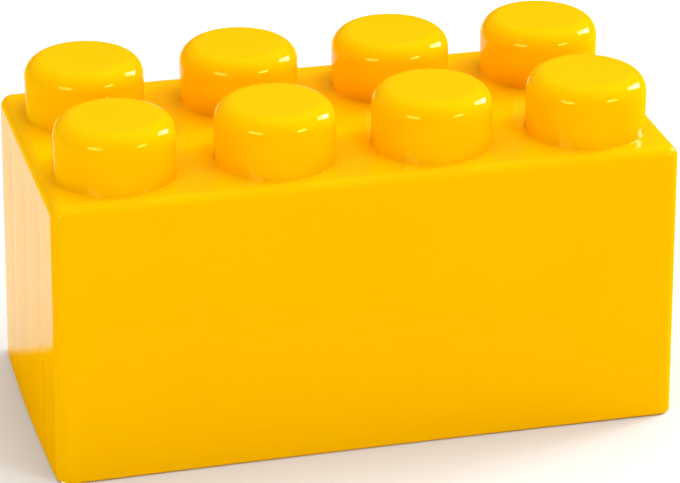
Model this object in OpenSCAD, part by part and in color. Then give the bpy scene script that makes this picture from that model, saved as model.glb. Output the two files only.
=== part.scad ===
// Giant building block, two rows of four round studs.
// A drafted shell open at its base, with three clutch cores seated under its roof.
// Origin at the middle of the base rim, X along the block, +Z towards the studs.

/* [Studs] */
// Distance between the axes of neighbouring studs
stud_pitch = 50.8; // [46:0.1:60]
// Diameter of a stud
stud_d = 38.4; // [34:0.1:42]
// Height of a stud above the roof
stud_h = 19.3; // [14:0.1:26]
// Rounding of a stud's shoulder
stud_shoulder_r = 6.1; // [4:0.1:9]
// Fillet where a stud stands on the roof
stud_foot_r = 0.5; // [0.2:0.1:1]
// Thickness of a stud's skin
stud_t = 2.8; // [2:0.1:3.6]

/* [Body] */
// Height from the base rim to the roof
body_h = 93.2; // [70:0.1:120]
// Room left between two blocks side by side on one grid
block_gap = 0.4; // [0.2:0.1:1.6]
// Slope of the walls, for release from the mould
draft = 0.6; // [0.2:0.1:1.2]
// Rounding of the outer edges round the roof
edge_r = 3.8; // [3:0.1:7]
// How much rounder the upright corners are than the edges round the roof
corner_extra = 0.6; // [0.4:0.1:2]
// Rounding of the inner edges round the roof
inner_edge_r = 1.2; // [0.6:0.1:2.5]
// Thickness of the walls
wall_t = 2.8; // [2.2:0.1:3.4]
// Thickness of the roof
roof_t = 3; // [2:0.1:4]

/* [Clutch] */
// Slack between a mating stud and each face that grips it
clutch_gap = 0.15; // [0.05:0.05:0.3]
// Width of a grip rib on a wall
rib_w = 2.2; // [1.4:0.1:4]
// Height of the plain rim below the grip ribs
rib_lead = 2; // [1:0.1:6]
// Thickness of a clutch tube's wall
tube_t = 2.6; // [1.8:0.1:4]
// Rounding of a clutch tube's lower lip
tube_lip_r = 1; // [0.4:0.1:1.2]

/* [Core seats] */
// Thickness of a core's webs
web_t = 2.4; // [1.6:0.1:3.6]
// Room between the tops of mating studs and the webs above them
web_lift = 1.5; // [0.5:0.1:6]
// Gap between the webs of two neighbouring cores
web_gap = 0.3; // [0.2:0.1:1]
// Slack of a web in its guide, at each side and at its end
guide_gap = 0.15; // [0.1:0.05:0.3]
// Width of one rib of a guide
guide_w = 1.8; // [1.2:0.1:3]
// Depth of a guide, measured from the wall
guide_d = 4; // [2:0.1:6]
// Height of the spigot that enters the top of a tube
spigot_h = 7; // [4:0.1:14]
// Thickness of the spigot's wall
spigot_t = 2.2; // [1.6:0.1:4]
// Step from a tube's bore out to the socket round the spigot
socket_step = 0.8; // [0.4:0.1:1.2]
// Slack between a spigot and the socket round it
spigot_gap = 0.1; // [0.05:0.05:0.2]

/* [Hidden] */
$fn = 96;

moulded_yellow = "#FDBF08";
core_yellow = "#F3B407";

columns = 4;
rows = 2;
// Depth of the cuts past the base, so that they leave it open
cut_past = 1;
// How far a rounding's circle overlaps the wall that it meets
round_lap = 0.02;
// How deep the sides of a drafted block reach into its core
side_lap = 1;
// Step to which places that come from a slope or a root are rounded
grid_step = 0.01;
function on_grid(v) = round(v / grid_step) * grid_step;

slope = tan(draft);
body_l = columns * stud_pitch - block_gap;
body_w = rows * stud_pitch - block_gap;
stud_r = stud_d / 2;
stud_x = [for (i = [0 : columns - 1]) (i - (columns - 1) / 2) * stud_pitch];
stud_y = [for (j = [0 : rows - 1]) (j - (rows - 1) / 2) * stud_pitch];
core_x = [for (i = [0 : columns - 2]) (i - (columns - 2) / 2) * stud_pitch];

// Underside of the roof, which the cores stand against
ceiling_z = body_h - roof_t;
// Level inside the roof up to which studs, ribs and spigots are rooted
root_z = body_h - roof_t / 2;
// A tube sits between four studs and touches all of them
tube_r = on_grid(stud_pitch / sqrt(2) - stud_r - clutch_gap);
bore_r = tube_r - tube_t;
socket_r = bore_r + socket_step;
socket_z = ceiling_z - spigot_h - spigot_gap;
spigot_r = socket_r - spigot_gap;
// Level above which the webs are clear of the studs of a block below
web_z = stud_h + web_lift;
// Where the face of a grip rib lies, measured from the axis of its stud
grip_reach = stud_r + clutch_gap;

// Half the outer and half the clear size of the body at a height
function outer_half(size, z) = size / 2 - z * slope;
function inner_half(size, z) = outer_half(size, z) - wall_t;

// Place of a drafted block's corner axes: far enough in for the rounding to meet the sloping wall
function corner_axis(size, top, r) = on_grid(size / 2 - (top - r) * slope - r - corner_extra + round_lap);

// Section through a wall's outer side, from the corner axis out: a slope cut back by the rounding at its top
module wall_section(foot, low, crown, r) {
    past = crown + cut_past;
    intersection() {
        polygon([
            [0, low],
            [foot - low * slope, low],
            [foot - past * slope, past],
            [0, past]
        ]);
        union() {
            translate([0, low])
                square([2 * foot, crown - r - low]);
            translate([0, low])
                square([corner_extra, past - low]);
            translate([corner_extra, crown - r])
                circle(r);
        }
    }
}

// The same section with a strip that reaches into the core
module side_section(foot, low, crown, r) {
    wall_section(foot, low, crown, r);
    translate([-side_lap, low])
        square([side_lap, crown + cut_past - low]);
}

// Block with drafted walls and rounded edges: a core, four sides and four turned corners, cut level
module drafted_block(len, wid, low, top, r) {
    half_l = corner_axis(len, top, r);
    half_w = corner_axis(wid, top, r);
    foot = len / 2 - half_l;
    core = [2 * half_l - side_lap, 2 * half_w - side_lap];
    crown = top + round_lap;
    intersection() {
        union() {
            translate([-core[0] / 2, -core[1] / 2, low - cut_past])
                cube([core[0], core[1], top - low + 2 * cut_past]);
            for (side = [0, 180])
                rotate([0, 0, side]) {
                    translate([half_l, half_w, 0])
                        rotate([90, 0, 0])
                            linear_extrude(2 * half_w)
                                side_section(foot, low - cut_past, crown, r);
                    translate([-half_l, half_w, 0])
                        rotate([90, 0, 90])
                            linear_extrude(2 * half_l)
                                side_section(foot, low - cut_past, crown, r);
                    translate([half_l, half_w, 0])
                        rotate_extrude(angle = 90)
                            wall_section(foot, low - cut_past, crown, r);
                    translate([-half_l, half_w, 0])
                        rotate([0, 0, 90])
                            rotate_extrude(angle = 90)
                                wall_section(foot, low - cut_past, crown, r);
                }
        }
        translate([-len / 2 - cut_past, -wid / 2 - cut_past, low])
            cube([len + 2 * cut_past, wid + 2 * cut_past, top - low]);
    }
}

// Turned section of a stud or of its hollow: straight side, rounded shoulder, flat top
module stud_section(r, low, top, shoulder) {
    translate([0, low])
        square([r, top - shoulder - low]);
    translate([0, low])
        square([r - shoulder, top - low]);
    translate([r - shoulder, top - shoulder])
        intersection() {
            circle(shoulder);
            square(shoulder);
        }
}

// Section of a stud's foot: a step rooted in the roof, cut back by the fillet
module foot_section() {
    foot = stud_r + stud_foot_r;
    difference() {
        translate([stud_r - stud_t / 2, root_z])
            square([foot - stud_r + stud_t / 2, body_h + stud_foot_r - round_lap - root_z]);
        translate([foot, body_h + stud_foot_r - round_lap])
            circle(stud_foot_r);
    }
}

module stud_outside() {
    rotate_extrude() {
        stud_section(stud_r, root_z, body_h + stud_h, stud_shoulder_r);
        foot_section();
    }
}

module stud_hollow() {
    hollow_shoulder = max(stud_shoulder_r - stud_t, stud_foot_r);
    rotate_extrude()
        stud_section(stud_r - stud_t, ceiling_z - cut_past, body_h + stud_h - stud_t, hollow_shoulder);
}

module at_studs() {
    for (x = stud_x)
        for (y = stud_y)
            translate([x, y, 0])
                children();
}

// Rib rooted in the middle of a wall's thickness and standing out to a plane, drawn facing +X
module grip_rib(size, face) {
    rotate([90, 0, 0])
        translate([0, 0, -rib_w / 2])
            linear_extrude(rib_w)
                polygon([
                    [face, rib_lead],
                    [inner_half(size, rib_lead) + wall_t / 2, rib_lead],
                    [inner_half(size, ceiling_z) + wall_t / 2, ceiling_z],
                    [inner_half(size, ceiling_z), root_z],
                    [face, root_z]
                ]);
}

// Pair of ribs that hold the edge of a web, following the draft of the wall, drawn facing +X
module web_guide(size) {
    for (side = [-1, 1])
        translate([0, side * (web_t / 2 + guide_gap + guide_w / 2), 0])
            rotate([90, 0, 0])
                translate([0, 0, -guide_w / 2])
                    linear_extrude(guide_w)
                        polygon([
                            [inner_half(size, web_z) - guide_d, web_z],
                            [inner_half(size, web_z) + wall_t / 2, web_z],
                            [inner_half(size, ceiling_z) + wall_t / 2, ceiling_z],
                            [inner_half(size, ceiling_z), root_z],
                            [inner_half(size, ceiling_z) - guide_d, root_z]
                        ]);
}

// Ring under the roof that centres a tube
module spigot() {
    rotate_extrude()
        translate([spigot_r - spigot_t, ceiling_z - spigot_h])
            square([spigot_t, root_z - ceiling_z + spigot_h]);
}

// One moulding: roof, four walls, hollow studs, grip ribs, web guides and spigots
module block_shell() {
    color(moulded_yellow) {
        difference() {
            union() {
                drafted_block(body_l, body_w, 0, body_h, edge_r);
                at_studs()
                    stud_outside();
            }
            union() {
                drafted_block(body_l - 2 * wall_t, body_w - 2 * wall_t, -cut_past, ceiling_z, inner_edge_r);
                at_studs()
                    stud_hollow();
            }
        }
        for (side = [0, 180])
            rotate([0, 0, side]) {
                for (y = stud_y)
                    translate([0, y, 0])
                        grip_rib(body_l, stud_x[columns - 1] + grip_reach);
                web_guide(body_l);
                rotate([0, 0, 90]) {
                    for (x = stud_x)
                        translate([0, x, 0])
                            grip_rib(body_w, stud_y[rows - 1] + grip_reach);
                    for (x = core_x)
                        translate([0, x, 0])
                            web_guide(body_w);
                }
            }
        for (x = core_x)
            translate([x, 0, 0])
                spigot();
    }
}

// Clutch tube, open at both ends, with a rounded lower lip and a socket in its top
module clutch_tube() {
    rotate_extrude() {
        translate([bore_r, tube_lip_r])
            square([tube_t, socket_z - tube_lip_r]);
        translate([socket_r, socket_z])
            square([tube_r - socket_r, ceiling_z - socket_z]);
        translate([bore_r, 0])
            square([tube_t - tube_lip_r, tube_lip_r]);
        translate([tube_r - tube_lip_r, tube_lip_r])
            intersection() {
                circle(tube_lip_r);
                translate([0, -tube_lip_r])
                    square(tube_lip_r);
            }
    }
}

// Web from a tube out to a wall: its end follows the draft and clears the rounding at the roof
module wall_web(size, from) {
    start = (socket_r + tube_r) / 2;
    corner = inner_edge_r + guide_gap;
    end_low = inner_half(size, web_z) - guide_gap - from;
    end_high = inner_half(size, ceiling_z - corner) - guide_gap - from;
    rotate([90, 0, 0])
        translate([0, 0, -web_t / 2])
            linear_extrude(web_t)
                polygon([
                    [start, web_z],
                    [end_low, web_z],
                    [end_high, ceiling_z - corner],
                    [end_high - corner, ceiling_z],
                    [start, ceiling_z]
                ]);
}

// Web from a tube half way to the next core
module link_web() {
    start = (socket_r + tube_r) / 2;
    translate([start, -web_t / 2, web_z])
        cube([(stud_pitch - web_gap) / 2 - start, web_t, ceiling_z - web_z]);
}

// A core at one of the places along the block: a tube, two cross webs, and a link or an end web each way
module clutch_core(index) {
    color(core_yellow)
        translate([core_x[index], 0, 0]) {
            clutch_tube();
            for (turn = [90, 270])
                rotate([0, 0, turn])
                    wall_web(body_w, 0);
            for (way = [1, -1])
                rotate([0, 0, way > 0 ? 0 : 180])
                    if (index + way < 0 || index + way > columns - 2)
                        wall_web(body_l, way * core_x[index]);
                    else
                        link_web();
        }
}

module clutch_core_left() {
    clutch_core(0);
}

module clutch_core_middle() {
    clutch_core(1);
}

module clutch_core_right() {
    clutch_core(2);
}

block_shell();
clutch_core_left();
clutch_core_middle();
clutch_core_right();
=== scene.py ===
"""Dresses the giant building block: its moulded shell, its clutch cores, the studio and the camera."""

import logging
import math
from dataclasses import dataclass
from enum import Enum

import bpy
import numpy as np
from mathutils import Matrix, Vector


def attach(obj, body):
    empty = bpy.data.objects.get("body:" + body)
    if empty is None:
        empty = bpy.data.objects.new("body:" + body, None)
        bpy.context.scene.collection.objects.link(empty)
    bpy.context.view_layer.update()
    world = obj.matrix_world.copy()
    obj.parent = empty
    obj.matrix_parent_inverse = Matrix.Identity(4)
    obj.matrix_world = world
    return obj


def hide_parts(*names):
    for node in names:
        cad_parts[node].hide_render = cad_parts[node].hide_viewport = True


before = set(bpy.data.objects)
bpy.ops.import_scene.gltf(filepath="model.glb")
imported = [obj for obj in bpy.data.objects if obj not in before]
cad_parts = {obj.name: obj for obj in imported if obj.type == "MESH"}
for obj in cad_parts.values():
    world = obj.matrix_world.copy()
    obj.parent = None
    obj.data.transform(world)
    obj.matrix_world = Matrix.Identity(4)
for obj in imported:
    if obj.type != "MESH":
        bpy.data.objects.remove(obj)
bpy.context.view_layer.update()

MM = 0.001
BODY = "root"
LOG = logging.getLogger("building_block")

# Sockets of the Mix node when it mixes colours
COLOURS = {"data_type": "RGBA"}
MIX_A, MIX_B, MIX_RESULT = 6, 7, 2
# A range that starts and ends without an edge
SMOOTH = {"interpolation_type": "SMOOTHSTEP"}
# Most of a noise texture lies between these values
NOISE_LOW, NOISE_HIGH = 0.3, 0.7
# An area lamp's face is as bright as its power over four times its area
LAMP_POWER = 4.0


def linear(hex_code: str) -> tuple[float, float, float, float]:
    """Turns an sRGB colour into linear light.

    Args:
        hex_code: colour as #RRGGBB.

    Returns:
        Red, green, blue and an alpha of one.
    """
    srgb = np.array([int(hex_code[i:i + 2], 16) for i in (1, 3, 5)]) / 255.0
    rgb = np.where(srgb <= 0.04045, srgb / 12.92, ((srgb + 0.055) / 1.055) ** 2.4)
    return (float(rgb[0]), float(rgb[1]), float(rgb[2]), 1.0)


def add_node(
    tree: bpy.types.NodeTree,
    kind: str,
    inputs: dict | None = None,
    settings: dict | None = None,
) -> bpy.types.Node:
    """Adds a node with its settings and links.

    Args:
        tree: node tree that takes the node.
        kind: Blender's name of the node type.
        inputs: values or output sockets by input name or number.
        settings: properties of the node by name.

    Returns:
        The new node.
    """
    node = tree.nodes.new(kind)
    for name, value in (settings or {}).items():
        setattr(node, name, value)
    for name, value in (inputs or {}).items():
        if isinstance(value, bpy.types.NodeSocket):
            tree.links.new(value, node.inputs[name])
        else:
            node.inputs[name].default_value = value
    return node


class MouldSkin(Enum):
    """How smooth the mould left a face, as the shader's roughness."""

    POLISHED = 0.05
    SATIN = 0.32


@dataclass(frozen=True)
class MouldedPlastic:
    """Solid-coloured injection-moulded thermoplastic: one colour through and through, glossy skin.

    The eye gets a saturated colour under a thin clear reflection, a skin that is a little uneven
    over a centimetre or two where the melt shrank, and a faint cloudiness of the pigment.
    """

    name: str
    colour: str
    cloud_colour: str
    skin: MouldSkin
    ior: float = 1.5
    # Pigment close under the skin warms the reflections that are seen straight on
    tint: str = "#FFE568"
    cloud_mm: float = 38.0
    ripple_mm: float = 17.0
    ripple_depth_mm: float = 0.02
    polish_mm: float = 6.0
    polish_spread: float = 0.03

    def material(self) -> bpy.types.Material:
        """Builds the node material.

        Returns:
            The material, with every pattern's scale worked out from its size in millimetres.
        """
        made = bpy.data.materials.new(self.name)
        made.use_nodes = True
        tree = made.node_tree
        tree.nodes.clear()
        place = add_node(tree, "ShaderNodeTexCoord").outputs["Object"]
        clouds = add_node(tree, "ShaderNodeTexNoise", {
            "Vector": place,
            "Scale": 1.0 / (self.cloud_mm * MM),
            "Detail": 2.0,
            "Roughness": 0.45,
        })
        colour = add_node(tree, "ShaderNodeMix", {
            "Factor": clouds.outputs["Fac"],
            MIX_A: linear(self.colour),
            MIX_B: linear(self.cloud_colour),
        }, COLOURS)
        polish = add_node(tree, "ShaderNodeTexNoise", {
            "Vector": place,
            "Scale": 1.0 / (self.polish_mm * MM),
            "Detail": 3.0,
        })
        gloss = add_node(tree, "ShaderNodeMapRange", {
            "Value": polish.outputs["Fac"],
            "From Min": NOISE_LOW,
            "From Max": NOISE_HIGH,
            "To Min": self.skin.value,
            "To Max": self.skin.value + self.polish_spread,
        })
        ripple = add_node(tree, "ShaderNodeTexNoise", {
            "Vector": place,
            "Scale": 1.0 / (self.ripple_mm * MM),
            "Detail": 1.0,
            "Roughness": 0.3,
        })
        bump = add_node(tree, "ShaderNodeBump", {
            "Height": ripple.outputs["Fac"],
            "Strength": 1.0,
            "Distance": self.ripple_depth_mm * MM,
        })
        shader = add_node(tree, "ShaderNodeBsdfPrincipled", {
            "Base Color": colour.outputs[MIX_RESULT],
            "Roughness": gloss.outputs["Result"],
            "IOR": self.ior,
            "Specular Tint": linear(self.tint),
            "Normal": bump.outputs["Normal"],
        })
        add_node(tree, "ShaderNodeOutputMaterial", {"Surface": shader.outputs["BSDF"]})
        return made


# The shell's plastic is polished like the mould, so that lamps show in it with sharp edges
SHELL_PLASTIC = MouldedPlastic(
    name="moulded_abs_polished_yellow",
    colour="#FFBF00",
    cloud_colour="#FDBB00",
    skin=MouldSkin.POLISHED,
)
# The cores sit inside and came from a plainer mould, so their skin is satin and lamps blur in it
CORE_PLASTIC = MouldedPlastic(
    name="moulded_abs_satin_yellow",
    colour="#F7B800",
    cloud_colour="#F3B200",
    skin=MouldSkin.SATIN,
)


@dataclass(frozen=True)
class PaperSweep:
    """Matt white studio paper: even, with no gloss and a barely seen fibre mottle.

    The camera loses the paper in the white room some way out, and looks through it from below. Gloss
    sees painted shade in the block's own yellow ahead of the block and far aside, and a little of it behind:
    the yellow stands in for the block's bounce light on shaded paper, and the camera never sees it.
    """

    name: str = "matt_studio_paper"
    colour: str = "#E0E0DF"
    fibre_colour: str = "#DDDDDC"
    # Real fibres are far too fine to show, so their mottle is drawn some centimetres wide
    fibre_mm: float = 45.0
    fade_mm: tuple[float, float] = (260.0, 420.0)
    # Painted shade: the block's yellow stands in for its bounce light on the shaded paper, and only gloss
    # sees it
    painted_shade_colour: str = "#FFC000"
    painted_shade_ahead_mm: tuple[float, float] = (43.0, 54.0)
    painted_shade_aside_mm: tuple[float, float] = (160.0, 200.0)
    painted_shade_behind: float = 0.24

    def painted_shade_share(
        self,
        tree: bpy.types.NodeTree,
        place: bpy.types.NodeSocket,
        gloss: bpy.types.NodeSocket,
    ) -> bpy.types.NodeSocket:
        """How much of the yellow painted shade shows in the gloss, by the distances back and aside.

        Args:
            tree: the paper's node tree.
            place: output that gives the place on the paper.
            gloss: output that is one for gloss, which alone sees the painted shade.

        Returns:
            Output that gives the share, from 0 to 1.
        """
        spot = add_node(tree, "ShaderNodeSeparateXYZ", {"Vector": place})
        off_middle = add_node(tree, "ShaderNodeMath", {0: spot.outputs["X"]}, {"operation": "ABSOLUTE"})
        aside = add_node(tree, "ShaderNodeMapRange", {
            "Value": off_middle.outputs["Value"],
            "From Min": self.painted_shade_aside_mm[0] * MM,
            "From Max": self.painted_shade_aside_mm[1] * MM,
            "To Min": self.painted_shade_behind,
            "To Max": 1.0,
        }, SMOOTH)
        ahead = add_node(tree, "ShaderNodeMapRange", {
            "Value": spot.outputs["Y"],
            "From Min": self.painted_shade_ahead_mm[0] * MM,
            "From Max": self.painted_shade_ahead_mm[1] * MM,
            "To Min": 1.0,
            "To Max": aside.outputs["Result"],
        }, SMOOTH)
        return add_node(tree, "ShaderNodeMath", {
            0: ahead.outputs["Result"],
            1: gloss,
        }, {"operation": "MULTIPLY"}).outputs["Value"]

    def clear_share(
        self,
        tree: bpy.types.NodeTree,
        place: bpy.types.NodeSocket,
        camera: bpy.types.NodeSocket,
    ) -> bpy.types.NodeSocket:
        """How clear the paper is: wholly from below, and for the camera with the distance out.

        Args:
            tree: the paper's node tree.
            place: output that gives the place on the paper.
            camera: output that is one for the camera.

        Returns:
            Output that gives the share, from 0 to 1.
        """
        reach = add_node(tree, "ShaderNodeVectorMath", {0: place}, {"operation": "LENGTH"})
        fade = add_node(tree, "ShaderNodeMapRange", {
            "Value": reach.outputs["Value"],
            "From Min": self.fade_mm[0] * MM,
            "From Max": self.fade_mm[1] * MM,
            "To Max": camera,
        }, SMOOTH)
        return add_node(tree, "ShaderNodeMath", {
            0: fade.outputs["Result"],
            1: add_node(tree, "ShaderNodeNewGeometry").outputs["Backfacing"],
        }, {"operation": "MAXIMUM"}).outputs["Value"]

    def material(self) -> bpy.types.Material:
        """Builds the node material.

        Returns:
            The material.
        """
        made = bpy.data.materials.new(self.name)
        made.use_nodes = True
        tree = made.node_tree
        tree.nodes.clear()
        place = add_node(tree, "ShaderNodeTexCoord").outputs["Object"]
        path = add_node(tree, "ShaderNodeLightPath")
        fibre = add_node(tree, "ShaderNodeTexNoise", {
            "Vector": place,
            "Scale": 1.0 / (self.fibre_mm * MM),
            "Detail": 4.0,
        })
        colour = add_node(tree, "ShaderNodeMix", {
            "Factor": fibre.outputs["Fac"],
            MIX_A: linear(self.colour),
            MIX_B: linear(self.fibre_colour),
        }, COLOURS)
        # Painted shade and painted reflection: gloss sees the paper in the block's yellow, standing in for
        # the shaded paper lit by the block's bounce
        painted_shade_mixed = add_node(tree, "ShaderNodeMix", {
            "Factor": self.painted_shade_share(tree, place, path.outputs["Is Glossy Ray"]),
            MIX_A: colour.outputs[MIX_RESULT],
            MIX_B: linear(self.painted_shade_colour),
        }, COLOURS)
        paper = add_node(tree, "ShaderNodeBsdfDiffuse", {"Color": painted_shade_mixed.outputs[MIX_RESULT]})
        edge = add_node(tree, "ShaderNodeMixShader", {
            0: self.clear_share(tree, place, path.outputs["Is Camera Ray"]),
            1: paper.outputs["BSDF"],
            2: add_node(tree, "ShaderNodeBsdfTransparent").outputs["BSDF"],
        })
        add_node(tree, "ShaderNodeOutputMaterial", {"Surface": edge.outputs["Shader"]})
        return made


def spread(start: float, end: float, count: int, crowd: float) -> np.ndarray:
    """Places samples on a line, closer together at both of its ends.

    The place is s - crowd / (2 pi) * sin(2 pi s) for s in even steps, so the steps at the ends are
    (1 - crowd) of the even one.

    Args:
        start: first place.
        end: last place, which isn't among the samples.
        count: number of samples.
        crowd: how much the ends are favoured, from 0 to below 1.

    Returns:
        The places.
    """
    s = np.arange(count) / count
    return start + (end - start) * (s - crowd / (2 * np.pi) * np.sin(2 * np.pi * s))


def arc(centre: tuple[float, float], radius: float, first: float, last: float, count: int) -> np.ndarray:
    """Points of a circular arc in a section, as centre plus radius times cosine and sine.

    Args:
        centre: distance out and height of the centre.
        radius: radius of the arc.
        first: angle of the first point in degrees, from straight out.
        last: angle of the last point.
        count: number of points.

    Returns:
        Array of count rows of distance out and height.
    """
    angle = np.radians(np.linspace(first, last, count))
    return np.stack([centre[0] + radius * np.cos(angle), centre[1] + radius * np.sin(angle)], axis=1)


@dataclass
class SkinMesh:
    """Grids of points that are joined into one closed mesh, in millimetres.

    Points in the same cell of a fine lattice are merged. The lattice is shifted by a part of a cell,
    so that round coordinates don't fall between two cells.
    """

    name: str
    merge_mm: float = 0.0005
    merge_shift: float = 0.37

    def __post_init__(self) -> None:
        """Starts with no grids."""
        self.points: list[np.ndarray] = []
        self.quads: list[np.ndarray] = []
        self.total = 0

    def add(self, grid: np.ndarray) -> None:
        """Adds a grid whose last column joins its first. Rows times columns point out of the plastic.

        Args:
            grid: array of rows, columns and the three coordinates.
        """
        rows, cols = grid.shape[:2]
        number = self.total + np.arange(rows * cols).reshape(rows, cols)
        turned = np.roll(number, -1, axis=1)
        quad = np.stack([number[:-1], number[1:], turned[1:], turned[:-1]], axis=-1)
        self.points.append(grid.reshape(-1, 3))
        self.quads.append(quad.reshape(-1, 4))
        self.total += rows * cols

    def build(self) -> bpy.types.Object:
        """Merges equal points, drops collapsed faces and makes the smooth mesh in metres.

        Returns:
            The new object, linked to the scene, at the origin.
        """
        points = np.concatenate(self.points)
        quads = np.concatenate(self.quads)
        key = np.floor(points / self.merge_mm + self.merge_shift).astype(np.int64)
        _, first, same = np.unique(key, axis=0, return_index=True, return_inverse=True)
        points = points[first] * MM
        quads = same.reshape(-1)[quads]
        halves = np.concatenate([quads[:, [0, 1, 2]], quads[:, [0, 2, 3]]])
        whole = (halves != np.roll(halves, -1, axis=1)).all(axis=1).reshape(2, -1)
        both = whole.all(axis=0)
        square = quads[both]
        single = halves[(whole & ~both).reshape(-1)]
        corners = np.concatenate([square.reshape(-1), single.reshape(-1)]).astype(np.int32)
        starts = np.concatenate([
            4 * np.arange(len(square)),
            4 * len(square) + 3 * np.arange(len(single)),
        ]).astype(np.int32)
        mesh = bpy.data.meshes.new(self.name)
        mesh.vertices.add(len(points))
        mesh.vertices.foreach_set("co", points.astype(np.float32).reshape(-1))
        mesh.loops.add(len(corners))
        mesh.loops.foreach_set("vertex_index", corners)
        mesh.polygons.add(len(starts))
        mesh.polygons.foreach_set("loop_start", starts)
        mesh.polygons.foreach_set("use_smooth", np.ones(len(starts), dtype=bool))
        mesh.update(calc_edges=True)
        mesh.validate()
        made = bpy.data.objects.new(self.name, mesh)
        bpy.context.scene.collection.objects.link(made)
        LOG.info("%s: %d points, %d triangles", self.name, len(points), 2 * len(square) + len(single))
        return made


@dataclass
class MouldedShell:
    """The one outer moulding: drafted walls, roof, hollow studs, grip ribs, web guides and spigots.

    All sizes are in millimetres and repeat those of the solid that it stands for. The walls bow a
    little at their foot and have sunk a little over each rib, as thick places of a moulding do.
    The last fields are the places and numbers of the mesh's rows.
    """

    columns: int = 4
    rows: int = 2
    pitch: float = 50.8
    stud_r: float = 19.2
    stud_h: float = 19.3
    shoulder_r: float = 6.1
    stud_foot_r: float = 0.5
    stud_t: float = 2.8
    hollow_lip_r: float = 0.4
    body_h: float = 93.2
    half_l: float = 101.4
    half_w: float = 50.6
    slope: float = math.tan(math.radians(0.6))
    edge_r: float = 3.8
    edge_trim: float = 0.02
    corner_extra: float = 0.6
    inner_edge_r: float = 1.2
    wall_t: float = 2.8
    roof_t: float = 3.0
    rim_r: float = 0.45
    clutch_gap: float = 0.15
    rib_w: float = 2.2
    rib_lead: float = 2.0
    rib_power: int = 8
    web_z: float = 20.8
    web_t: float = 2.4
    guide_gap: float = 0.15
    guide_w: float = 1.8
    guide_d: float = 4.0
    spigot_r: float = 14.67
    spigot_t: float = 2.2
    spigot_h: float = 7.0
    spigot_soft_r: float = 0.3

    bow_long: float = -0.7
    bow_end: float = 0.9
    bow_power: float = 1.5
    corner_power: int = 8
    sink_depth: float = 0.13
    sink_width: float = 2.1
    sink_top: float = 10.0
    sink_foot: float = 4.0
    guide_sink_width: float = 1.4
    guide_sink_long: float = 0.5
    guide_sink_end: float = 0.8

    per_half: int = 18
    crowd: float = 0.6
    corner_steps: int = 12
    wall_rows: int = 18
    inner_rows: int = 12
    close: float = 0.5
    edge_row: float = 2.5
    foot_rows: tuple[float, float] = (3.0, 1.2)
    roof_shares: tuple[float, ...] = (0.12, 0.45, 1.0)
    rib_foot: tuple[tuple[float, float], ...] = ((0.0, 0.0), (0.0, 0.72), (0.12, 0.92), (0.4, 1.0))
    rib_points: int = 28
    ring_points: int = 72

    def __post_init__(self) -> None:
        """Works out the places that follow from the sizes."""
        self.ceiling = self.body_h - self.roof_t
        self.root_z = self.body_h - self.roof_t / 2
        self.outer_axis = self.corner_axis(self.body_h, self.edge_r, 0.0)
        self.inner_axis = self.corner_axis(self.ceiling, self.inner_edge_r, self.wall_t)

    def corner_axis(self, top: float, radius: float, inset: float) -> tuple[float, float]:
        """Half sizes of the rectangle on which the upright corners turn.

        It lies back from the wall's foot by the draft up to the rounding, the rounding and the
        corner's extra radius, less the trim that lets the rounding run into the leaning wall.

        Args:
            top: level at which the rounding ends.
            radius: radius of the rounding.
            inset: how far the wall's face lies inside the outer one.

        Returns:
            Half length and half width.
        """
        back = inset + (top - radius) * self.slope + radius + self.corner_extra - self.edge_trim
        return self.half_l - back, self.half_w - back

    def stud_places(self, count: int) -> np.ndarray:
        """Places of a number of studs on the grid, centred on the block."""
        return (np.arange(count) - (count - 1) / 2) * self.pitch

    def side_knots(self, half: float, count: int) -> np.ndarray:
        """Ends of a side, its stud lines and the lines half way between them, in order."""
        inner = (np.arange(2 * count - 1) - (count - 1)) * self.pitch / 2
        return np.concatenate([[-half], inner, [half]])

    def side_places(self, half: float, count: int) -> np.ndarray:
        """Samples along a side, crowded at its knots.

        Args:
            half: half length of the side.
            count: studs along the side.

        Returns:
            Places from the first end on, without the last end.
        """
        knots = self.side_knots(half, count)
        return np.concatenate([
            spread(a, b, self.per_half, self.crowd) for a, b in zip(knots[:-1], knots[1:])
        ])

    def perimeter(self, axis: tuple[float, float]) -> tuple[np.ndarray, np.ndarray]:
        """Path round the block: four straight sides on the corner axes, and a turn at each corner.

        Args:
            axis: half length and half width of the rectangle of corner axes.

        Returns:
            Points on the rectangle and outward directions, both as arrays of x and y.
        """
        long_side = self.side_places(axis[0], self.columns)
        short_side = self.side_places(axis[1], self.rows)
        swing = np.radians(-90.0 + 90.0 * np.arange(self.corner_steps) / self.corner_steps)
        base, out = [], []
        for quarter in range(4):
            along = short_side if quarter % 2 else long_side
            reach, half = (axis[0], axis[1]) if quarter % 2 else (axis[1], axis[0])
            turn = np.radians(90.0 * quarter)
            cos, sin = round(math.cos(turn)), round(math.sin(turn))
            spin = np.array([[cos, sin], [-sin, cos]])
            line = np.stack([along, np.full(len(along), -reach)], axis=1)
            corner = np.repeat([[half, -reach]], self.corner_steps, axis=0)
            base.append(np.concatenate([line, corner]) @ spin)
            flat = np.repeat([[0.0, -1.0]], len(along), axis=0)
            out.append(np.concatenate([flat, np.stack([np.cos(swing), np.sin(swing)], axis=1)]) @ spin)
        return np.concatenate(base), np.concatenate(out)

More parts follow.
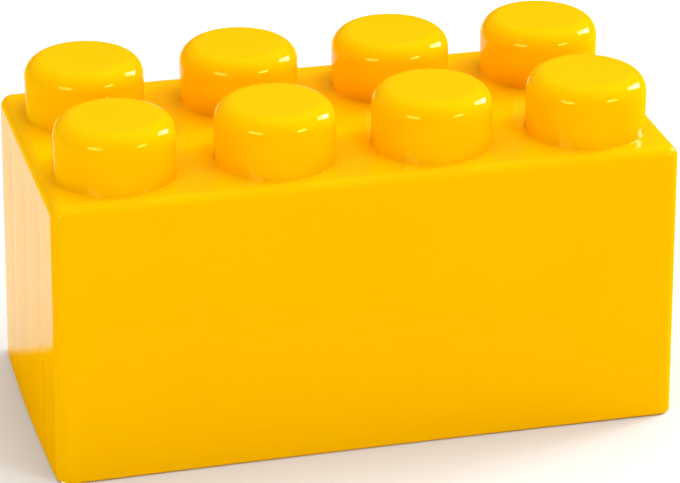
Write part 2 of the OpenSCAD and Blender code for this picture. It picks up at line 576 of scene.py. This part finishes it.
    def outer_profile(self) -> np.ndarray:
        """Section of the outside, from the roof's corner axis over the edge and down to the rim.

        Returns:
            Rows of distance out and height.
        """
        foot = self.half_l - self.outer_axis[0]
        edge = self.body_h - self.edge_r
        levels = np.concatenate([
            [edge - self.close],
            np.linspace(edge - self.edge_row, self.foot_rows[0], self.wall_rows),
            [self.foot_rows[1]],
        ])
        wall = np.stack([foot - levels * self.slope, levels], axis=1)
        crown = arc((self.corner_extra, edge), self.edge_r, 90.0, 0.0, count=13)
        crown[:, 0] = np.minimum(crown[:, 0], foot - crown[:, 1] * self.slope)
        return np.concatenate([
            [[0.0, self.body_h], [self.corner_extra / 2, self.body_h]],
            crown,
            wall,
            arc((foot - self.rim_r, self.rim_r), self.rim_r, 0.0, -90.0, count=6),
        ])

    def inner_profile(self) -> np.ndarray:
        """Section of the inside, from the rim up the wall and over to the ceiling's corner axis.

        Returns:
            Rows of distance out and height.
        """
        foot = self.half_l - self.wall_t - self.inner_axis[0]
        edge = self.ceiling - self.inner_edge_r
        levels = np.concatenate([
            [self.foot_rows[1]],
            np.linspace(self.foot_rows[0], edge - 2 * self.close, self.inner_rows),
        ])
        wall = np.stack([foot - levels * self.slope, levels], axis=1)
        return np.concatenate([
            arc((foot + self.rim_r, self.rim_r), self.rim_r, 270.0, 180.0, count=5),
            wall,
            arc((self.corner_extra, edge), self.inner_edge_r, 0.0, 90.0, count=7),
            [[0.0, self.ceiling]],
        ])

    def sink(self, along: np.ndarray, count: int) -> np.ndarray:
        """Depth of the sink marks across a wall: a bell over each rib, wider and weaker over guides.

        Args:
            along: places along the wall.
            count: studs along that wall.

        Returns:
            Depth below the wall's plane at each place.
        """
        ribs = self.stud_places(count)[:, None]
        webs = self.stud_places(count - 1)[:, None]
        wide = self.guide_sink_width * self.sink_width
        bell = np.exp(-(((along - ribs) / self.sink_width) ** 2) / 2).sum(axis=0)
        pair = np.exp(-(((along - webs) / wide) ** 2) / 2).sum(axis=0)
        weaker = self.guide_sink_end if count == self.rows else self.guide_sink_long
        return self.sink_depth * (bell + weaker * pair)

    def wall_shift(self, base: np.ndarray, out: np.ndarray, level: np.ndarray, marks: bool) -> np.ndarray:
        """How far a wall's face stands out from its drafted plane.

        The bow is its size times 1 - (place / half side)^2, times the share of the height that is
        left to the roof's edge, to the power of bow_power. The sink marks fade out below that edge
        and above the rim. Both fade round the corners with a power of the outward direction.

        Args:
            base: points on the rectangle of corner axes.
            out: outward directions.
            level: height of each row.
            marks: whether the sink marks show on this face.

        Returns:
            Array of rows and columns, in millimetres along the outward direction.
        """
        long_wall = np.abs(out[:, 1]) ** self.corner_power
        end_wall = np.abs(out[:, 0]) ** self.corner_power
        across = 1 - (base / np.abs(base).max(axis=0)) ** 2
        bow = self.bow_long * long_wall * across[:, 0] + self.bow_end * end_wall * across[:, 1]
        edge = self.body_h - self.edge_r
        rise = np.clip((edge - level) / edge, 0.0, 1.0)
        shift = rise[:, None] ** self.bow_power * bow[None, :]
        if marks:
            on_long = long_wall * self.sink(base[:, 0], self.columns)
            on_end = end_wall * self.sink(base[:, 1], self.rows)
            fade = np.clip((edge - level) / self.sink_top, 0.0, 1.0)
            fade = fade * np.clip(level / self.sink_foot, 0.0, 1.0)
            shift = shift - fade[:, None] * (on_long + on_end)[None, :]
        return shift

    def strip(self, axis: tuple[float, float], profile: np.ndarray, marks: bool) -> np.ndarray:
        """Carries a section round the block: path point plus direction times distance out.

        Args:
            axis: half sizes of the rectangle of corner axes.
            profile: rows of distance out and height.
            marks: whether the sink marks show.

        Returns:
            Grid of rows, columns and coordinates.
        """
        base, out = self.perimeter(axis)
        distance = profile[:, :1] + self.wall_shift(base, out, profile[:, 1], marks)
        flat = base[None] + out[None] * distance[..., None]
        level = np.broadcast_to(profile[:, 1:2, None], (*distance.shape, 1))
        return np.concatenate([flat, level], axis=2)

    def cell_border(self, axis: tuple[float, float], column: int, row: int) -> np.ndarray:
        """Border of one stud's cell in the roof, going round against the clock.

        Args:
            axis: half length and half width of the flat roof.
            column: stud's place along the block.
            row: stud's place across it.

        Returns:
            Points of the border as x and y.
        """
        x0, x1, x2 = self.side_knots(axis[0], self.columns)[2 * column:2 * column + 3]
        y0, y1, y2 = self.side_knots(axis[1], self.rows)[2 * row:2 * row + 3]
        count = self.per_half

        def line(a: float, b: float) -> np.ndarray:
            """Samples from one knot to the next."""
            return spread(a, b, count, self.crowd)

        return np.concatenate([
            np.stack([line(x0, x1), np.full(count, y0)], axis=1),
            np.stack([line(x1, x2), np.full(count, y0)], axis=1),
            np.stack([np.full(count, x2), line(y0, y1)], axis=1),
            np.stack([np.full(count, x2), line(y1, y2)], axis=1),
            np.stack([line(x2, x1), np.full(count, y2)], axis=1),
            np.stack([line(x1, x0), np.full(count, y2)], axis=1),
            np.stack([np.full(count, x0), line(y2, y1)], axis=1),
            np.stack([np.full(count, x0), line(y1, y0)], axis=1),
        ])

    def cell(
        self,
        border: np.ndarray,
        centre: tuple[float, float],
        turned: np.ndarray,
        level: float,
    ) -> np.ndarray:
        """Roof cell with its stud: a section turned about the stud's axis, then rows out to the border.

        Args:
            border: points of the cell's border.
            centre: the stud's axis.
            turned: section as rows of radius and height, from the axis out.
            level: height of the flat roof.

        Returns:
            Grid from the axis to the border.
        """
        off = border - np.array(centre)
        angle = np.arctan2(off[:, 1], off[:, 0])
        ring = np.stack([np.cos(angle), np.sin(angle)], axis=1)
        stud = np.array(centre) + ring[None] * turned[:, :1, None]
        share = np.array(self.roof_shares)[:, None, None]
        flat = stud[-1][None] * (1 - share) + border[None] * share
        flat[-1] = border
        level_rows = np.concatenate([turned[:, 1], np.full(len(flat), level)])
        ground = np.concatenate([stud, flat])
        height = np.broadcast_to(level_rows[:, None, None], (*ground.shape[:2], 1))
        return np.concatenate([ground, height], axis=2)

    def stud_profile(self) -> np.ndarray:
        """Section of a stud's outside, from the middle of its top down to the roof.

        Returns:
            Rows of radius and height.
        """
        top = self.body_h + self.stud_h
        flat = self.stud_r - self.shoulder_r
        foot = self.stud_r + self.stud_foot_r
        side = np.linspace(top - self.shoulder_r - self.close, self.body_h + self.stud_foot_r + self.close, 3)
        return np.concatenate([
            [[0.0, top], [flat / 2, top], [flat - self.close, top]],
            arc((flat, top - self.shoulder_r), self.shoulder_r, 90.0, 0.0, count=17),
            np.stack([np.full(len(side), self.stud_r), side], axis=1),
            arc((foot, self.body_h + self.stud_foot_r), self.stud_foot_r, 180.0, 270.0, count=5),
        ])

    def hollow_profile(self) -> np.ndarray:
        """Section of a stud's hollow, from the middle of its top down and out to the ceiling.

        Returns:
            Rows of radius and height.
        """
        top = self.body_h + self.stud_h - self.stud_t
        radius = self.stud_r - self.stud_t
        shoulder = self.shoulder_r - self.stud_t
        flat = radius - shoulder
        lip = self.hollow_lip_r
        return np.concatenate([
            [[0.0, top], [flat / 2, top], [flat - self.close, top]],
            arc((flat, top - shoulder), shoulder, 90.0, 0.0, count=9),
            [[radius, top - shoulder - self.close], [radius, self.ceiling + lip + self.close]],
            arc((radius + lip, self.ceiling + lip), lip, 180.0, 270.0, count=4),
        ])

    def upright(
        self,
        size: float,
        low: float,
        width: float,
        face: np.ndarray,
        place: float,
        turn: float,
    ) -> np.ndarray:
        """Rib on the inside of a wall: a rounded oblong carried from its foot up into the roof.

        The oblong is the superellipse |u|^p + |v|^p = 1 with p from rib_power, and its lowest rows
        shrink so that the foot is rounded as well.

        Args:
            size: half size of the block across that wall.
            low: level of the rib's foot.
            width: width of the rib.
            face: distance of the rib's face from the block's middle at its foot and at its root.
            place: place along the wall.
            turn: direction that the wall faces, in degrees.

        Returns:
            Grid of closed rings.
        """
        angle = np.linspace(0.0, 2 * np.pi, self.rib_points, endpoint=False)
        cos, sin = np.cos(angle), np.sin(angle)
        unit = (np.abs(cos) ** self.rib_power + np.abs(sin) ** self.rib_power) ** (-1 / self.rib_power)
        rise, round_share = np.array(self.rib_foot).T
        level = np.concatenate([low + rise, [(low + self.root_z) / 2, self.root_z, self.root_z]])
        shrink = np.concatenate([round_share, [1.0, 1.0, 0.0]])[:, None]
        share = np.clip((level - low) / (self.root_z - low), 0.0, 1.0)
        inner = face[0] + (face[1] - face[0]) * share
        outer = size - level * self.slope - self.wall_t / 2
        middle, half = (inner + outer) / 2, (outer - inner) / 2
        forward = middle[:, None] + half[:, None] * shrink * (unit * cos)[None]
        across = place + width / 2 * shrink * (unit * sin)[None]
        facing = math.radians(turn)
        x = forward * math.cos(facing) - across * math.sin(facing)
        y = forward * math.sin(facing) + across * math.cos(facing)
        return np.stack([x, y, np.broadcast_to(level[:, None], x.shape)], axis=2)[::-1]

    def ring(self, centre: float) -> np.ndarray:
        """Spigot under the roof: a closed section with small roundings, turned about its axis.

        Args:
            centre: place of the axis along the block.

        Returns:
            Grid whose first and last rows are the same ring.
        """
        inner, outer = self.spigot_r - self.spigot_t, self.spigot_r
        soft = self.spigot_soft_r
        low = self.ceiling - self.spigot_h + soft
        section = np.concatenate([
            [[outer, self.root_z], [outer, low + self.close]],
            arc((outer - soft, low), soft, 0.0, -90.0, count=4),
            arc((inner + soft, low), soft, 270.0, 180.0, count=4),
            [[inner, low + self.close], [inner, self.root_z], [outer, self.root_z]],
        ])
        angle = np.linspace(0.0, 2 * np.pi, self.ring_points, endpoint=False)
        x = centre + section[:, :1] * np.cos(angle)[None]
        y = section[:, :1] * np.sin(angle)[None]
        return np.stack([x, y, np.broadcast_to(section[:, 1:2], x.shape)], axis=2)

    def add_ribs(self, skin: SkinMesh) -> None:
        """Adds the grip ribs and web guides of all four walls.

        Args:
            skin: mesh that takes them.
        """
        reach = self.stud_r + self.clutch_gap
        step = self.web_t / 2 + self.guide_gap + self.guide_w / 2
        ends = (0, self.half_l, self.rows, self.columns)
        sides = (90, self.half_w, self.columns, self.rows)
        for turn, size, along, across in (ends, sides):
            grip = self.stud_places(across)[-1] + reach
            inside = size - self.wall_t - self.guide_d
            grip_face = np.array([grip, grip])
            guide_face = inside - np.array([self.web_z, self.root_z]) * self.slope
            for facing in (turn, turn + 180):
                for place in self.stud_places(along):
                    skin.add(self.upright(size, self.rib_lead, self.rib_w, grip_face, place, facing))
                for place in self.stud_places(along - 1):
                    for beside in (place - step, place + step):
                        skin.add(self.upright(size, self.web_z, self.guide_w, guide_face, beside, facing))

    def build(self) -> bpy.types.Object:
        """Makes the moulding and lets it stand for the solid.

        Returns:
            The finished piece.
        """
        skin = SkinMesh("moulded_shell")
        outside = self.strip(self.outer_axis, self.outer_profile(), True)
        inside = self.strip(self.inner_axis, self.inner_profile(), False)
        skin.add(np.concatenate([outside, inside]))
        for column, x in enumerate(self.stud_places(self.columns)):
            for row, y in enumerate(self.stud_places(self.rows)):
                border = self.cell_border(self.outer_axis, column, row)
                skin.add(self.cell(border, (x, y), self.stud_profile(), self.body_h))
                border = self.cell_border(self.inner_axis, column, row)
                skin.add(self.cell(border, (x, y), self.hollow_profile(), self.ceiling)[::-1])
        self.add_ribs(skin)
        for place in self.stud_places(self.columns - 1):
            skin.add(self.ring(place))
        made = skin.build()
        self.dress(made)
        return made

    def dress(self, made: bpy.types.Object) -> None:
        """Gives the moulding its plastic, ties it to the body and hides the solid that it stands for.

        Args:
            made: the moulding.
        """
        made.data.materials.append(SHELL_PLASTIC.material())
        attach(made, BODY)
        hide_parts("block_shell")


@dataclass
class ClutchCores:
    """The three cores under the roof, whose solids are kept as they are."""

    nodes: tuple[str, ...] = ("clutch_core_left", "clutch_core_middle", "clutch_core_right")

    def dress(self) -> None:
        """Gives each core the satin plastic."""
        plastic = CORE_PLASTIC.material()
        for name in self.nodes:
            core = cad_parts[name]
            core.data.materials.clear()
            core.data.materials.append(plastic)
            LOG.info("%s: satin plastic", name)


def direction(azimuth: float, elevation: float) -> Vector:
    """Direction from the block, as (sin az cos el, -cos az cos el, sin el).

    Args:
        azimuth: angle in degrees from the front, towards the right.
        elevation: angle in degrees above the floor.

    Returns:
        The unit direction.
    """
    az, el = math.radians(azimuth), math.radians(elevation)
    return Vector((math.sin(az) * math.cos(el), -math.cos(az) * math.cos(el), math.sin(el)))


@dataclass(frozen=True)
class Softbox:
    """A rectangular lamp, placed by the direction in which the block sees it.

    Angles and the lamp's width and height are in degrees, the distance is in metres, and the
    radiance is the brightness of its face, on a scale where 1 is white.
    """

    name: str
    azimuth: float
    elevation: float
    distance: float
    wide: float
    high: float
    radiance: float
    roll: float = 0.0

    def build(self, aim: Vector) -> None:
        """Makes the lamp, as wide and high as its angles at its distance.

        Args:
            aim: point that the lamp faces.
        """
        way = direction(self.azimuth, self.elevation)
        lamp = bpy.data.lights.new(self.name, "AREA")
        lamp.shape = "RECTANGLE"
        lamp.size = 2 * self.distance * math.tan(math.radians(self.wide) / 2)
        lamp.size_y = 2 * self.distance * math.tan(math.radians(self.high) / 2)
        lamp.energy = LAMP_POWER * lamp.size * lamp.size_y * self.radiance
        made = bpy.data.objects.new(self.name, lamp)
        turn = way.to_track_quat("Z", "Y").to_matrix() @ Matrix.Rotation(math.radians(self.roll), 3, "Z")
        made.matrix_world = Matrix.Translation(aim + way * self.distance) @ turn.to_4x4()
        bpy.context.scene.collection.objects.link(made)
        LOG.info("%s: %.1f W", self.name, lamp.energy)


@dataclass(frozen=True)
class SoftGlow:
    """A broad patch of the room that glows evenly and has no edge.

    It starts where the cosine of the angle from its middle is edge and is full where that is core.
    """

    azimuth: float
    elevation: float
    edge: float
    core: float
    radiance: float

    def brightness(self, tree: bpy.types.NodeTree, way: bpy.types.NodeSocket) -> bpy.types.NodeSocket:
        """Brightness by direction: a smooth step of the dot product with the patch's own direction.

        Args:
            tree: the world's node tree.
            way: output that gives the direction of the ray.

        Returns:
            Output that gives the brightness.
        """
        nearness = add_node(tree, "ShaderNodeVectorMath", {
            0: way,
            1: direction(self.azimuth, self.elevation),
        }, {"operation": "DOT_PRODUCT"})
        return add_node(tree, "ShaderNodeMapRange", {
            "Value": nearness.outputs["Value"],
            "From Min": self.edge,
            "From Max": self.core,
            "To Max": self.radiance,
        }, SMOOTH).outputs["Result"]


@dataclass
class Studio:
    """Paper floor, three softboxes that show in the gloss, a softly lit white room and the camera.

    Lengths are in metres. The room glows overhead to the right, from behind and low on the left, and
    under the open floor for the clutch. The camera was fitted to the edges of the block.
    """

    lamps: tuple[Softbox, ...] = (
        Softbox("softbox_left", azimuth=-50.0, elevation=23.0, distance=1.3,
                wide=24.0, high=14.0, radiance=6.4),
        Softbox("softbox_front", azimuth=39.0, elevation=27.0, distance=1.3,
                wide=18.0, high=8.5, radiance=12.1),
        Softbox("softbox_right", azimuth=107.0, elevation=27.5, distance=1.6,
                wide=13.0, high=27.0, radiance=11.8, roll=34.0),
    )
    glows: tuple[SoftGlow, ...] = (
        SoftGlow(azimuth=90.0, elevation=73.0, edge=0.62, core=0.98, radiance=2.34),
        SoftGlow(azimuth=180.0, elevation=45.0, edge=0.3, core=0.95, radiance=0.56),
        SoftGlow(azimuth=-90.0, elevation=8.0, edge=0.5, core=0.98, radiance=0.5),
        SoftGlow(azimuth=0.0, elevation=-90.0, edge=0.1, core=0.6, radiance=1.0),
    )
    room_in_gloss: float = 0.02
    floor_half: float = 6.0
    floor_steps: int = 4
    floor_drop: float = 0.0004
    floor_gap: tuple[float, float] = (0.0999, 0.0486)
    focal_px: float = 3479.508
    image_wide: float = 680.0
    sensor_mm: float = 36.0
    clip_near: float = 0.01
    clip_far: float = 50.0
    azimuth: float = -14.461735
    elevation: float = 24.444756
    reach: float = 1.134599
    roll: float = 0.132808
    target: tuple[float, float, float] = (0.00218201, 0.0, 0.050017338)

    def floor(self) -> None:
        """Lays the paper: a grid in the floor's plane, with its middle field left open under the block."""
        across, along = (
            np.concatenate([
                np.linspace(-self.floor_half, -gap, self.floor_steps),
                np.linspace(gap, self.floor_half, self.floor_steps),
            ])
            for gap in self.floor_gap
        )
        x, y = np.meshgrid(across, along)
        points = np.stack([x, y, np.full_like(x, -self.floor_drop)], axis=2).reshape(-1, 3)
        number = np.arange(x.size).reshape(x.shape)
        quads = np.stack([number[:-1, :-1], number[:-1, 1:], number[1:, 1:], number[1:, :-1]], axis=-1)
        quads = quads.reshape(-1, 4)
        mesh = bpy.data.meshes.new("paper_floor")
        mesh.from_pydata(points.tolist(), [], np.delete(quads, len(quads) // 2, axis=0).tolist())
        mesh.materials.append(PaperSweep().material())
        made = bpy.data.objects.new("paper_floor", mesh)
        bpy.context.scene.collection.objects.link(made)
        LOG.info("paper_floor: open under the block")

    def world(self) -> None:
        """Lights the white room with its glows.

        The camera sees plain white. Gloss sees that white and the glows faintly, so that only the
        lamps show in it.
        """
        made = bpy.data.worlds.new("studio_room")
        made.use_nodes = True
        tree = made.node_tree
        tree.nodes.clear()
        way = add_node(tree, "ShaderNodeTexCoord").outputs["Generated"]
        path = add_node(tree, "ShaderNodeLightPath")
        plain = add_node(tree, "ShaderNodeMath", {
            0: path.outputs["Is Camera Ray"],
            1: path.outputs["Is Transmission Ray"],
        }, {"operation": "ADD"})
        total = add_node(tree, "ShaderNodeMath", {
            0: path.outputs["Is Glossy Ray"],
            1: self.room_in_gloss,
            2: plain.outputs["Value"],
        }, {"operation": "MULTIPLY_ADD"}).outputs["Value"]
        shine = add_node(tree, "ShaderNodeMapRange", {
            "Value": path.outputs["Is Glossy Ray"],
            "To Min": 1.0,
            "To Max": self.room_in_gloss,
        })
        for glow in self.glows:
            total = add_node(tree, "ShaderNodeMath", {
                0: glow.brightness(tree, way),
                1: shine.outputs["Result"],
                2: total,
            }, {"operation": "MULTIPLY_ADD"}).outputs["Value"]
        room = add_node(tree, "ShaderNodeBackground", {
            "Color": linear("#FFFFFF"),
            "Strength": total,
        })
        add_node(tree, "ShaderNodeOutputWorld", {"Surface": room.outputs["Background"]})
        bpy.context.scene.world = made

    def camera(self) -> None:
        """Sets up the camera that looks down on the long side and the left end.

        The camera stands on a sphere round the target, looks at it and is rolled a little.
        """
        back = direction(self.azimuth, self.elevation)
        right = Vector((0.0, 0.0, 1.0)).cross(back).normalized()
        up = back.cross(right)
        tilt = math.radians(self.roll)
        x_axis = right * math.cos(tilt) + up * math.sin(tilt)
        y_axis = up * math.cos(tilt) - right * math.sin(tilt)
        lens = bpy.data.cameras.new("photo_camera")
        lens.sensor_fit = "HORIZONTAL"
        lens.sensor_width = self.sensor_mm
        lens.lens = self.focal_px / self.image_wide * self.sensor_mm
        lens.clip_start = self.clip_near
        lens.clip_end = self.clip_far
        made = bpy.data.objects.new("photo_camera", lens)
        turn = Matrix((x_axis, y_axis, back)).transposed()
        made.matrix_world = Matrix.Translation(Vector(self.target) + back * self.reach) @ turn.to_4x4()
        bpy.context.scene.collection.objects.link(made)
        bpy.context.scene.camera = made

    def build(self) -> None:
        """Sets up floor, lamps, room light, camera and the plain view."""
        self.floor()
        for lamp in self.lamps:
            lamp.build(Vector(self.target))
        self.world()
        self.camera()
        bpy.context.scene.view_settings.view_transform = "Standard"


def main() -> None:
    """Builds each sub-assembly in order."""
    logging.basicConfig(level=logging.INFO, format="%(name)s %(message)s")
    MouldedShell().build()
    ClutchCores().dress()
    Studio().build()
    bpy.context.view_layer.update()


if __name__ == "__main__":
    main()
